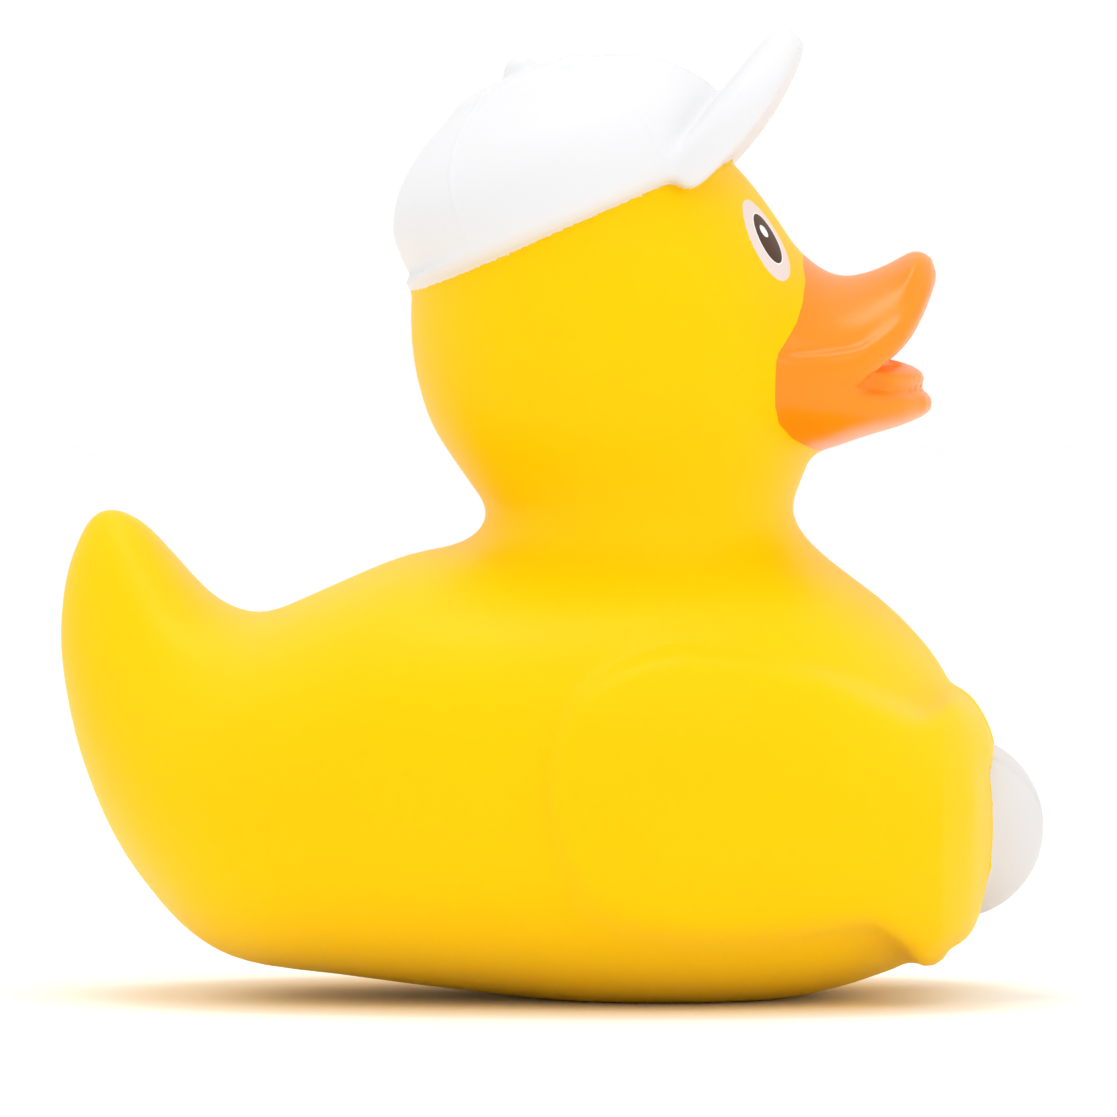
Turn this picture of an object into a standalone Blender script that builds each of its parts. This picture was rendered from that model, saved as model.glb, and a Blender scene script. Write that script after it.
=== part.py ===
"""Rubber duck: a hollow vinyl bath toy, moulded in one with its cap, its bill and the ball that
its wings hold, with a small squeaker pressed into the hole in its base.

The duck faces +X and stands on z = 0. Lengths below are in millimetres."""

import math

import bmesh
import bpy
from mathutils import Vector

MM = 0.001

# Vinyl moulding
WALL = 2.0
GAP = 0.3
BODY_SIDES = 28
DETAIL_SIDES = 20
STEPS = 3
HOLLOW_ENDS = (1.0, 1.0)

# A torso or head station: top (x, z), bottom (x, z), half width, where it is widest, squareness
TORSO = (
    ((-40.2, 44.8), (-43.4, 43.4), 2.6, 0.50, 2.2),
    ((-38.0, 43.8), (-45.1, 38.6), 5.4, 0.50, 2.3),
    ((-34.7, 40.2), (-45.4, 31.0), 10.0, 0.50, 2.5),
    ((-31.3, 36.6), (-43.1, 21.0), 15.6, 0.48, 2.5),
    ((-27.0, 35.2), (-38.3, 11.6), 21.4, 0.47, 2.5),
    ((-21.0, 37.6), (-30.4, 4.1), 26.4, 0.46, 2.5),
    ((-13.0, 40.8), (-18.0, 1.9), 30.0, 0.45, 2.4),
    ((-4.0, 42.0), (-5.0, 0.3), 31.8, 0.45, 2.3),
    ((6.0, 42.4), (6.0, -0.8), 32.2, 0.44, 2.3),
    ((15.0, 42.0), (15.5, -0.7), 31.2, 0.43, 2.3),
    ((23.0, 41.0), (23.5, 0.3), 28.2, 0.42, 2.3),
    ((29.6, 37.0), (29.6, 2.0), 23.6, 0.42, 2.3),
    ((34.7, 31.9), (34.0, 4.2), 17.0, 0.44, 2.2),
    ((37.0, 27.9), (36.2, 10.4), 9.8, 0.48, 2.1),
)
TORSO_ENDS = (1.0, 1.2)

HEAD = (
    ((24.4, 34.0), (-8.0, 34.0), 16.6, 0.50, 2.1),
    ((22.6, 41.0), (-6.2, 41.0), 14.8, 0.50, 2.1),
    ((21.9, 45.0), (-6.0, 44.6), 14.4, 0.50, 2.1),
    ((23.2, 48.6), (-8.4, 48.2), 15.2, 0.50, 2.1),
    ((24.6, 53.0), (-11.4, 53.0), 17.2, 0.48, 2.1),
    ((25.0, 58.6), (-13.0, 59.0), 18.7, 0.47, 2.1),
    ((24.2, 65.0), (-13.1, 65.0), 19.1, 0.47, 2.1),
    ((21.2, 70.6), (-12.2, 71.4), 18.0, 0.48, 2.1),
    ((16.6, 76.6), (-8.8, 77.2), 14.8, 0.50, 2.1),
    ((10.8, 80.8), (-3.4, 81.2), 9.4, 0.50, 2.0),
)
HEAD_ENDS = (1.0, 2.4)

# The cap sits square to an axis that leans back, with its rim centre over the head
CAP_CENTRE = (1.3, 71.5)
CAP_LEAN = math.radians(24.0)
# Height over the rim plane, rear reach, front reach, half width
CAP = (
    (-0.7, 14.2, 16.9, 18.9),
    (0.2, 15.0, 17.5, 19.9),
    (2.0, 15.3, 17.6, 20.2),
    (5.4, 15.1, 17.2, 19.6),
    (8.6, 13.1, 15.1, 17.4),
    (11.2, 9.7, 11.8, 13.4),
    (13.1, 5.6, 7.4, 8.2),
)
CAP_TOP = 1.0
BUTTON_AT = 1.5
BUTTON_RADIUS = 1.7
BUTTON_HEIGHT = 0.9
# Rolled hem at the back of the rim: its radius, and how far round it runs to each side
HEM_RADIUS = 1.3
HEM_TURN = math.radians(75.0)
HEM_SLICES = 9

# Peak: the arc it follows in side view, its reach to each side and its thickness
PEAK_SPINE = ((11.6, 75.0), (14.2, 77.1), (17.1, 80.4), (19.5, 84.1), (21.2, 87.3))
PEAK_HALF_WIDTH = 16.0
PEAK_THICKNESS = 4.0
PEAK_TURN = math.radians(84.0)
PEAK_SQUARE = 4.5
# How much of its height the peak keeps at its corners, how fast it falls to them, and how far
# its edge rounds over
PEAK_CORNER = 0.12
PEAK_FALL = 0.8
PEAK_EDGE = 1.7
PEAK_SLICES = 13

# Bill stations: top (x, z), bottom (x, z), half width, where it is widest, squareness
UPPER_BILL = (
    ((19.0, 69.4), (19.0, 54.6), 12.0, 0.31, 1.6),
    ((23.1, 67.8), (23.0, 54.8), 12.1, 0.34, 1.55),
    ((26.4, 66.4), (26.6, 55.4), 11.8, 0.36, 1.5),
    ((29.6, 67.0), (29.6, 57.0), 10.8, 0.31, 1.5),
    ((32.4, 68.4), (32.2, 59.6), 8.8, 0.27, 1.6),
    ((33.5, 68.9), (33.0, 62.4), 6.8, 0.50, 1.9),
    ((34.4, 68.7), (34.1, 64.4), 4.4, 0.50, 2.0),
)
UPPER_BILL_ENDS = (0.5, 0.9)
LOWER_BILL = (
    ((19.0, 60.4), (19.0, 50.4), 12.6, 0.60, 2.2),
    ((24.0, 59.8), (24.4, 50.3), 12.5, 0.58, 2.2),
    ((28.6, 56.7), (28.6, 51.6), 11.3, 0.66, 2.3),
    ((32.0, 56.1), (32.0, 52.6), 9.1, 0.62, 2.4),
    ((34.0, 55.8), (34.0, 53.5), 5.7, 0.50, 2.2),
)
LOWER_BILL_ENDS = (0.5, 0.9)
MOUTH = (
    ((30.3, 60.0), (30.3, 58.8), 5.0, 0.30, 2.2),
    ((32.2, 62.2), (32.4, 58.4), 7.0, 0.30, 2.2),
    ((33.8, 64.4), (34.2, 57.6), 5.6, 0.30, 2.2),
    ((35.2, 64.6), (35.6, 56.6), 4.6, 0.30, 2.2),
    ((38.4, 64.8), (38.6, 56.2), 4.6, 0.30, 2.2),
)
MOUTH_ENDS = (1.0, 0.5)
# Rolled rim of the upper bill: its crest from one side to the middle, how far it stands out, and
# its extent above and below the crest
BILL_RIM = (
    (20.5, 12.4, 59.1),
    (25.5, 12.4, 59.3),
    (28.3, 12.0, 59.6),
    (29.9, 11.3, 60.1),
    (31.9, 9.8, 61.4),
    (33.3, 7.9, 62.9),
    (34.1, 5.8, 64.6),
    (34.6, 3.2, 66.2),
    (34.8, 0.0, 66.9),
)
BILL_RIM_REACH = 0.9
BILL_RIM_EXTENT = (0.7, 2.4)
# Tongue, filling the mouth: centre and radii
TONGUE = ((28.0, 0.0, 56.9), (6.1, 10.5, 2.0))

# Wing stations: middle (x, y, z), half height, half thickness. The left wing mirrors them.
WING = (
    ((0.6, -29.6, 20.4), 5.6, 2.4),
    ((4.4, -30.1, 19.8), 10.4, 3.3),
    ((11.0, -30.0, 18.8), 13.2, 3.9),
    ((20.0, -27.6, 17.8), 12.6, 4.2),
    ((28.0, -22.8, 16.6), 11.4, 4.4),
    ((33.2, -16.8, 15.8), 11.4, 4.4),
    ((36.6, -11.0, 15.8), 11.8, 3.8),
    ((39.2, -7.0, 16.2), 10.2, 2.6),
)
WING_ENDS = (1.2, 0.8)
WING_SQUARE = 2.2

# Ball held by the wings
BALL_AT = (36.7, 0.0, 15.6)
BALL_RADIUS = 8.4

# Squeaker, pressed into the base from below
HOLE_AT = 7.0
HOLE_RADIUS = 7.3
CUP_FLOOR = (0.8, 2.0)
CUP_TOP = 10.0
CUP_WALL = 1.2
CUP_LIP = (2.5, 3.5)
CUP_LIP_REACH = 1.5
SOUND_HOLE = 1.6
REED_BLOCK = (5.0, 7.0)
REED_SLOT = (6.0, 1.8)
REED_SIZE = (8.4, 3.0, 0.4)


def clear_scene():
    for item in list(bpy.data.objects):
        bpy.data.objects.remove(item, do_unlink=True)


def plastic(name, colour, roughness):
    """A dielectric material with one colour."""
    made = bpy.data.materials.new(name)
    made.use_nodes = True
    shader = made.node_tree.nodes["Principled BSDF"]
    shader.inputs["Base Color"].default_value = (*colour, 1.0)
    shader.inputs["Roughness"].default_value = roughness
    shader.inputs["Metallic"].default_value = 0.0
    return made


def signed_power(value, power):
    return math.copysign(abs(value) ** power, value)


def ring(middle, side, up, down, square, count):
    """A closed ring round its middle: an ellipse for a squareness of 2, boxier above it. Its
    upper and lower halves may differ in height."""
    points = []
    for i in range(count):
        turn = 2 * math.pi * i / count
        across = signed_power(math.sin(turn), 2 / square)
        rise = signed_power(math.cos(turn), 2 / square)
        points.append(middle + side * across + (up * rise if rise > 0 else down * -rise))
    return points


def spline(before, start, end, after, t):
    """Catmull-Rom: a smooth step from start to end between their neighbours."""
    linear = (end - before) * t
    square = (2 * before - 5 * start + 4 * end - after) * t**2
    cube = (3 * start - before - 3 * end + after) * t**3
    return start + (linear + square + cube) / 2


def refined(stations, steps):
    """The stations, each a tuple of vectors and numbers, with smooth ones added between them."""
    first, second = stations[0], stations[1]
    last, next_to_last = stations[-1], stations[-2]
    before = tuple(a * 2 - b for a, b in zip(first, second))
    after = tuple(a * 2 - b for a, b in zip(last, next_to_last))
    rows = [before, *stations, after]
    made = []
    for four in zip(rows, rows[1:], rows[2:], rows[3:]):
        for step in range(steps):
            made.append(tuple(spline(*values, step / steps) for values in zip(*four)))
    return [*made, last]


def rounded_end(station, outward, depth, count):
    """Shrinking stations that close a loft with a dome, and the dome's apex."""
    middle, side, up, down, square = station
    made = []
    for i in range(1, count):
        turn = math.pi / 2 * i / count
        shrink = math.cos(turn)
        here = middle + outward * depth * math.sin(turn)
        made.append((here, side * shrink, up * shrink, down * shrink, square))
    return made, middle + outward * depth


def loft_mesh(name, stations, ends, sides, steps, end_rings=3):
    """A closed mesh through the stations, with a dome of the given depth at each end."""
    rows = refined(stations, steps)
    start_way = (rows[0][0] - rows[1][0]).normalized()
    end_way = (rows[-1][0] - rows[-2][0]).normalized()
    start_rows, start_apex = rounded_end(rows[0], start_way, ends[0], end_rings)
    end_rows, end_apex = rounded_end(rows[-1], end_way, ends[1], end_rings)
    rows = [*reversed(start_rows), *rows, *end_rows]
    made = bmesh.new()
    rings = [[made.verts.new(p * MM) for p in ring(*row, sides)] for row in rows]
    for near, far in zip(rings, rings[1:]):
        for i in range(sides):
            j = (i + 1) % sides
            made.faces.new((near[i], near[j], far[j], far[i]))
    for apex, rim in ((start_apex, rings[0]), (end_apex, rings[-1])):
        tip = made.verts.new(apex * MM)
        for i in range(sides):
            made.faces.new((tip, rim[i], rim[(i + 1) % sides]))
    bmesh.ops.recalc_face_normals(made, faces=made.faces)
    mesh = bpy.data.meshes.new(name)
    made.to_mesh(mesh)
    made.free()
    mesh.shade_smooth()
    return mesh


def add_object(name, mesh, material=None):
    made = bpy.data.objects.new(name, mesh)
    bpy.context.scene.collection.objects.link(made)
    if material:
        mesh.materials.append(material)
    return made


def guide(name, mesh):
    """A shape that only adds to or cuts another."""
    made = add_object(name, mesh)
    made.hide_render = True
    made.display_type = "WIRE"
    return made


def combine(target, tool, operation):
    step = target.modifiers.new(f"{operation.lower()}_{tool.name}", "BOOLEAN")
    step.object = tool
    step.operation = operation
    step.solver = "EXACT"


def upright(rows, inset=0.0):
    """Stations that stand on the plane of symmetry, each drawn in by the inset."""
    made = []
    for (top_x, top_z), (low_x, low_z), half_width, widest, square in rows:
        top, low = Vector((top_x, 0, top_z)), Vector((low_x, 0, low_z))
        shorten = (top - low).normalized() * inset
        top, low = top - shorten, low + shorten
        middle = low.lerp(top, widest)
        side = Vector((0, half_width - inset, 0))
        made.append((middle, side, top - middle, low - middle, square))
    return made


def moved_cap(along, height):
    """A point of the cap's own plane of symmetry, on the duck."""
    sine, cosine = math.sin(CAP_LEAN), math.cos(CAP_LEAN)
    x = CAP_CENTRE[0] + along * cosine - height * sine
    z = CAP_CENTRE[1] + along * sine + height * cosine
    return Vector((x, 0, z))


def cap_stations():
    made = []
    for height, rear, front, half_width in CAP:
        middle = moved_cap(0, height)
        ahead = moved_cap(front, height) - middle
        behind = moved_cap(-rear, height) - middle
        made.append((middle, Vector((0, half_width, 0)), ahead, behind, 2.1))
    return made


def button_stations():
    base = moved_cap(BUTTON_AT, CAP[-1][0])
    axis = (moved_cap(0, 1) - moved_cap(0, 0)).normalized()
    ahead = (moved_cap(1, 0) - moved_cap(0, 0)) * BUTTON_RADIUS
    side = Vector((0, BUTTON_RADIUS, 0))
    low = (base - axis, side, ahead, -ahead, 2.0)
    high = (base + axis * (CAP_TOP + BUTTON_HEIGHT / 2), side, ahead, -ahead, 2.0)
    return [low, high]


def hem_stations():
    """The rolled hem across the back of the cap's rim, thinning to each side."""
    _, rear, _, half_width = CAP[1]
    inset = HEM_RADIUS / 2
    up = moved_cap(0, 1) - moved_cap(0, 0)
    made = []
    for i in range(HEM_SLICES):
        turn = HEM_TURN * (2 * i / (HEM_SLICES - 1) - 1)
        at = moved_cap(-(rear - inset) * math.cos(turn), -inset)
        at.y = (half_width - inset) * math.sin(turn)
        size = HEM_RADIUS * math.cos(turn) ** 0.5
        outward = Vector((at.x - CAP_CENTRE[0], at.y, 0)).normalized()
        made.append((at, outward * size, up * size, -up * size, 2.0))
    return made


def peak_stations():
    """Slices of the peak from side to side, each running from its root to its outer edge."""
    root = Vector((PEAK_SPINE[0][0], 0, PEAK_SPINE[0][1]))
    spine = [(Vector((x, 0, z)),) for x, z in PEAK_SPINE]
    line = [row[0] for row in refined(spine, 8)]
    made = []
    for i in range(PEAK_SLICES):
        turn = PEAK_TURN * (2 * i / (PEAK_SLICES - 1) - 1)
        y = PEAK_HALF_WIDTH * math.sin(turn)
        reach = PEAK_CORNER + (1 - PEAK_CORNER) * math.cos(turn) ** PEAK_FALL
        tip = line[round((len(line) - 1) * reach)]
        middle = (root + tip) / 2 + Vector((0, y, 0))
        along = (tip - root) / 2
        across = Vector((along.z, 0, -along.x)).normalized() * PEAK_THICKNESS / 2
        made.append((middle, across, along + along.normalized() * PEAK_EDGE, -along, PEAK_SQUARE))
    return made


def bill_rim_stations():
    """Stations along the rolled rim of the upper bill, right round its front."""
    half = [Vector(at) for at in BILL_RIM]
    crest = [Vector((at.x, -at.y, at.z)) for at in half] + half[-2::-1]
    above, below = BILL_RIM_EXTENT
    made = []
    for i, at in enumerate(crest):
        ahead = crest[min(i + 1, len(crest) - 1)] - crest[max(i - 1, 0)]
        outward = Vector((ahead.y, -ahead.x, 0)).normalized() * BILL_RIM_REACH
        made.append((at, outward, Vector((0, 0, above)), Vector((0, 0, -below)), 2.0))
    return made


def wing_stations(hand):
    """Stations along a wing's middle line, square to it seen from above."""
    made = []
    places = [Vector(at) for at, _, _ in WING]
    for i, (at, half_height, half_thickness) in enumerate(WING):
        ahead = places[min(i + 1, len(WING) - 1)] - places[max(i - 1, 0)]
        outward = Vector((ahead.y, -ahead.x, 0)).normalized() * half_thickness
        middle = Vector(at)
        middle.y *= hand
        outward.y *= hand
        up = Vector((0, 0, half_height))
        made.append((middle, outward, up, -up, WING_SQUARE))
    return made


def turned_mesh(name, profile, sides):
    """A solid of revolution about the squeaker's axis. The profile is a closed loop of (radius,
    height) points, counter-clockwise with the radius to the right."""
    made = bmesh.new()
    rings = []
    for radius, height in profile:
        loop = []
        for i in range(sides):
            turn = 2 * math.pi * i / sides
            x = HOLE_AT + radius * math.cos(turn)
            loop.append(made.verts.new(Vector((x, radius * math.sin(turn), height)) * MM))
        rings.append(loop)
    for near, far in zip(rings, [*rings[1:], rings[0]]):
        for i in range(sides):
            j = (i + 1) % sides
            made.faces.new((near[i], near[j], far[j], far[i]))
    bmesh.ops.recalc_face_normals(made, faces=made.faces)
    mesh = bpy.data.meshes.new(name)
    made.to_mesh(mesh)
    made.free()
    return mesh


def box_mesh(name, low, high):
    made = bmesh.new()
    bmesh.ops.create_cube(made, size=1.0)
    low, high = Vector(low), Vector(high)
    for vert in made.verts:
        vert.co = [(a + (c + 0.5) * (b - a)) * MM for a, b, c in zip(low, high, vert.co)]
    mesh = bpy.data.meshes.new(name)
    made.to_mesh(mesh)
    made.free()
    return mesh


def cylinder_mesh(name, radius, low, high, sides):
    made = bmesh.new()
    size = {"radius1": radius * MM, "radius2": radius * MM, "depth": (high - low) * MM}
    bmesh.ops.create_cone(made, cap_ends=True, segments=sides, **size)
    bmesh.ops.translate(made, verts=made.verts, vec=Vector((HOLE_AT, 0, (low + high) / 2)) * MM)
    mesh = bpy.data.meshes.new(name)
    made.to_mesh(mesh)
    made.free()
    return mesh


def ellipsoid_mesh(name, centre, radii):
    made = bmesh.new()
    bmesh.ops.create_uvsphere(made, u_segments=20, v_segments=12, radius=MM)
    bmesh.ops.scale(made, verts=made.verts, vec=Vector(radii))
    bmesh.ops.translate(made, verts=made.verts, vec=Vector(centre) * MM)
    mesh = bpy.data.meshes.new(name)
    made.to_mesh(mesh)
    made.free()
    mesh.shade_smooth()
    return mesh


def duck_body():
    vinyl = plastic("yellow_vinyl", (0.98, 0.62, 0.0), 0.42)
    torso = loft_mesh("body", upright(TORSO), TORSO_ENDS, BODY_SIDES, STEPS)
    body = add_object("body", torso, vinyl)
    lumps = {
        "head": loft_mesh("head", upright(HEAD), HEAD_ENDS, BODY_SIDES, STEPS),
        "upper_bill": loft_mesh("upper_bill", upright(UPPER_BILL), UPPER_BILL_ENDS, DETAIL_SIDES, 2),
        "bill_rim": loft_mesh("bill_rim", bill_rim_stations(), (0.5, 0.5), 10, 1),
        "cap": loft_mesh("cap", cap_stations(), (0.4, CAP_TOP), BODY_SIDES, 2),
        "hem": loft_mesh("hem", hem_stations(), (0.5, 0.5), 8, 1),
        "button": loft_mesh("button", button_stations(), (0.3, BUTTON_HEIGHT / 2), 12, 1),
        "peak": loft_mesh("peak", peak_stations(), (0.3, 0.3), DETAIL_SIDES, 1),
        "left_wing": loft_mesh("left_wing", wing_stations(-1), WING_ENDS, DETAIL_SIDES, 2),
        "right_wing": loft_mesh("right_wing", wing_stations(1), WING_ENDS, DETAIL_SIDES, 2),
        "ball": ellipsoid_mesh("ball", BALL_AT, (BALL_RADIUS,) * 3),
    }
    for name, mesh in lumps.items():
        combine(body, guide(name, mesh), "UNION")
    mouth = loft_mesh("mouth", upright(MOUTH), MOUTH_ENDS, DETAIL_SIDES, 2)
    combine(body, guide("mouth", mouth), "DIFFERENCE")
    lower_bill = loft_mesh("lower_bill", upright(LOWER_BILL), LOWER_BILL_ENDS, DETAIL_SIDES, 2)
    combine(body, guide("lower_bill", lower_bill), "UNION")
    combine(body, guide("tongue", ellipsoid_mesh("tongue", *TONGUE)), "UNION")
    hollows = {
        "torso_hollow": loft_mesh("torso_hollow", upright(TORSO[2:-1], WALL), HOLLOW_ENDS, 20, 2),
        "head_hollow": loft_mesh("head_hollow", upright(HEAD, WALL), HOLLOW_ENDS, 20, 2),
        "below_base": box_mesh("below_base", (-60, -60, -10), (60, 60, 0)),
        "squeaker_hole": cylinder_mesh("squeaker_hole", HOLE_RADIUS, -1, CUP_LIP[1], 32),
    }
    for name, mesh in hollows.items():
        combine(body, guide(name, mesh), "DIFFERENCE")
    return body


def squeaker():
    clear = plastic("squeaker_plastic", (0.80, 0.80, 0.78), 0.35)
    outer = HOLE_RADIUS - GAP
    inner = outer - CUP_WALL
    floor_low, floor_high = CUP_FLOOR
    lip_low, lip_high = CUP_LIP
    cup = (
        (SOUND_HOLE, floor_low),
        (outer, floor_low),
        (outer, lip_low),
        (outer + CUP_LIP_REACH, lip_low),
        (outer + CUP_LIP_REACH, lip_high),
        (outer, lip_high),
        (outer, CUP_TOP),
        (inner, CUP_TOP),
        (inner, floor_high),
        (SOUND_HOLE, floor_high),
    )
    add_object("squeaker_cup", turned_mesh("squeaker_cup", cup, 32), clear)
    block_radius = inner - GAP
    block = add_object("reed_block", cylinder_mesh("reed_block", block_radius, *REED_BLOCK, 32), clear)
    length, width = REED_SLOT
    low = (HOLE_AT - length / 2, -width / 2, REED_BLOCK[0] - 1)
    high = (HOLE_AT + length / 2, width / 2, REED_BLOCK[1] + 1)
    combine(block, guide("reed_slot", box_mesh("reed_slot", low, high)), "DIFFERENCE")
    length, width, thickness = REED_SIZE
    low = (HOLE_AT - length / 2, -width / 2, REED_BLOCK[1] + GAP)
    high = (HOLE_AT + length / 2, width / 2, REED_BLOCK[1] + GAP + thickness)
    film = plastic("reed_film", (0.86, 0.86, 0.84), 0.3)
    add_object("reed", box_mesh("reed", low, high), film)


clear_scene()
duck_body()
squeaker()
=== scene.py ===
"""A rubber duck in soft satin vinyl, with a white cap, an orange bill and a white ball held
between its wings. Shape lengths are in millimetres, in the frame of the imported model."""

import math

import bmesh
import bpy
import numpy as np
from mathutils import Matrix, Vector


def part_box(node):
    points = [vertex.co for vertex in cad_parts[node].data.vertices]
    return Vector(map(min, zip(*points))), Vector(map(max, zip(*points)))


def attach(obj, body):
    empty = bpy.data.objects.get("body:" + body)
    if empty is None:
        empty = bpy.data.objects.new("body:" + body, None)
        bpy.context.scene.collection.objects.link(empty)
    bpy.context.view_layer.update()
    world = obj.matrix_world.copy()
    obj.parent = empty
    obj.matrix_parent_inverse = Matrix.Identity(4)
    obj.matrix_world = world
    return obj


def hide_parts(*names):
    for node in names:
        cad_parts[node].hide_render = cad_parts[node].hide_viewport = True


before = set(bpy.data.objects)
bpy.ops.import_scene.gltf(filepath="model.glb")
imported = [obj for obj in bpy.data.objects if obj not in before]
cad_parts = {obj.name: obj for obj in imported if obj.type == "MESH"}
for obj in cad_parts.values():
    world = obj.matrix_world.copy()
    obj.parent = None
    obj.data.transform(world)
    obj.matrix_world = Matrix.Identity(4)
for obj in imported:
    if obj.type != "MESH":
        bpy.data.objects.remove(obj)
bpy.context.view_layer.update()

import openvdb
from bpy.props import FloatProperty, FloatVectorProperty, PointerProperty
from bpy.types import Operator, Panel, PropertyGroup
from mathutils import Vector

bl_info = {
    "name": "Rubber Duck",
    "version": (1, 0, 0),
    "blender": (4, 5, 0),
    "location": "View3D > Sidebar > Duck",
    "description": "Builds a vinyl bath duck and its studio round a packed frame",
    "category": "Object",
}

MM = 0.001
BODY_LOW, BODY_HIGH = (np.array(corner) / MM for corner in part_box("body"))
CUP_LOW, CUP_HIGH = (np.array(corner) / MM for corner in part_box("squeaker_cup"))

# Torso, head and bill stations: top (x, z), bottom (x, z), half width, widest at, squareness
TORSO = (
    ((-40.2, 44.8), (-43.4, 43.4), 2.6, 0.50, 2.2),
    ((-38.0, 43.8), (-45.1, 38.6), 5.4, 0.50, 2.3),
    ((-34.7, 40.2), (-45.4, 31.0), 10.0, 0.50, 2.5),
    ((-31.3, 36.6), (-43.1, 21.0), 15.6, 0.48, 2.5),
    ((-27.0, 35.2), (-38.3, 11.6), 21.4, 0.47, 2.5),
    ((-21.0, 37.6), (-30.4, 4.1), 26.4, 0.46, 2.5),
    ((-13.0, 40.8), (-18.0, 1.9), 30.0, 0.45, 2.4),
    ((-4.0, 42.0), (-5.0, 0.3), 31.8, 0.45, 2.3),
    ((6.0, 42.4), (6.0, -0.8), 32.2, 0.44, 2.3),
    ((15.0, 42.0), (15.5, -0.7), 31.2, 0.43, 2.3),
    ((23.0, 41.0), (23.5, 0.3), 28.2, 0.42, 2.3),
    ((29.6, 37.0), (29.6, 2.0), 23.6, 0.42, 2.3),
    ((34.7, 31.9), (34.0, 4.2), 17.0, 0.44, 2.2),
    ((37.0, 27.9), (36.2, 10.4), 9.8, 0.48, 2.1),
)
HEAD = (
    ((24.4, 34.0), (-8.0, 34.0), 16.6, 0.50, 2.1),
    ((22.6, 41.0), (-6.2, 41.0), 14.8, 0.50, 2.1),
    ((21.9, 45.0), (-6.0, 44.6), 14.4, 0.50, 2.1),
    ((23.2, 48.6), (-8.4, 48.2), 15.2, 0.50, 2.1),
    ((24.6, 53.0), (-11.4, 53.0), 17.2, 0.48, 2.1),
    ((25.0, 58.6), (-13.0, 59.0), 18.7, 0.47, 2.1),
    ((24.2, 65.0), (-13.1, 65.0), 19.1, 0.47, 2.1),
    ((21.2, 70.6), (-12.2, 71.4), 18.0, 0.48, 2.1),
    ((16.6, 76.6), (-8.8, 77.2), 14.8, 0.50, 2.1),
    ((10.8, 80.8), (-3.4, 81.2), 9.4, 0.50, 2.0),
)
UPPER_BILL = (
    ((19.0, 69.4), (19.0, 54.6), 12.0, 0.31, 1.6),
    ((23.1, 67.8), (23.0, 54.8), 12.1, 0.34, 1.55),
    ((26.4, 66.4), (26.6, 55.4), 11.8, 0.36, 1.5),
    ((29.6, 67.0), (29.6, 57.0), 10.8, 0.31, 1.5),
    ((32.4, 68.4), (32.2, 59.6), 8.8, 0.27, 1.6),
    ((33.4, 68.8), (33.0, 62.4), 6.8, 0.50, 1.9),
    ((34.4, 68.2), (34.1, 64.6), 4.2, 0.50, 2.0),
)
LOWER_BILL = (
    ((19.0, 60.4), (19.0, 50.4), 12.9, 0.60, 2.2),
    ((24.0, 59.8), (24.4, 50.3), 12.8, 0.58, 2.2),
    ((28.6, 56.7), (28.6, 51.6), 11.5, 0.66, 2.3),
    ((32.0, 56.1), (32.0, 52.6), 9.1, 0.62, 2.4),
    ((34.0, 55.8), (34.0, 53.5), 5.7, 0.50, 2.2),
)
MOUTH = (
    ((30.3, 59.6), (30.3, 58.2), 5.0, 0.30, 2.2),
    ((32.2, 62.2), (32.4, 57.4), 7.0, 0.30, 2.2),
    ((33.8, 64.4), (34.2, 56.8), 5.6, 0.30, 2.2),
    ((35.2, 64.6), (35.6, 56.0), 4.6, 0.30, 2.2),
    ((38.4, 64.8), (38.6, 55.4), 4.6, 0.30, 2.2),
)
# Crest of the rolled rim of the upper bill, from one side to the middle, how far it stands out
# and how far it reaches up and down
LIP = (
    (20.5, 12.9, 59.2), (25.5, 12.9, 59.5), (28.3, 12.5, 59.9), (29.9, 11.8, 60.6),
    (31.9, 10.3, 62.0), (33.3, 8.4, 63.5), (34.3, 6.1, 65.3), (34.9, 3.4, 66.7), (35.1, 0, 67.2),
)
LIP_REACH = 1.2
LIP_UP, LIP_DOWN = 0.8, 3.2
# Centre and radii
MOUTH_CORNER = ((30.2, 10.9, 56.7), (1.2, 1.7, 0.7))
TONGUE = ((28.0, 0.0, 56.9), (6.1, 10.5, 2.0))
# Edge of the bill's paint, upwards, seen from the side
BILL_PAINT = (
    (60.0, 49.0), (26.0, 49.9), (23.9, 50.5), (22.2, 51.5), (21.0, 52.9), (20.7, 54.5),
    (20.7, 56.6), (20.8, 58.6), (21.0, 59.4), (21.6, 60.3), (22.6, 62.1), (23.1, 63.9),
    (23.3, 65.9), (23.0, 67.5), (23.0, 69.0),
)

# Cap, square to an axis that leans back: height, rear reach, front reach, half width
CAP_CENTRE = (1.3, 71.5)
CAP_LEAN = math.radians(24.0)
CAP = (
    (-0.7, 14.2, 16.9, 18.9),
    (0.2, 15.0, 17.5, 19.9),
    (2.0, 15.3, 17.6, 20.2),
    (5.4, 15.1, 17.2, 19.6),
    (8.6, 13.1, 15.1, 17.4),
    (11.2, 9.7, 11.8, 13.4),
    (13.1, 5.6, 7.4, 8.2),
)
CAP_SQUARE = 2.1
CAP_TOP = 1.0
PANELS = 6
# Where the seams meet and the button sits, forward of the axis
SEAM_AXIS = 1.5
BUTTON_AT = 1.6
BUTTON_RADIUS = 1.7
BUTTON_HEIGHT = 14.0
HEM_SWELL = 0.85
# Peak: the arc it follows in side view, its reach to each side and its thickness
PEAK_SPINE = ((11.6, 75.0), (14.2, 77.1), (17.1, 80.4), (19.5, 84.1), (21.2, 87.3))
PEAK_HALF_WIDTH = 16.0
PEAK_THICKNESS = 4.0

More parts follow.
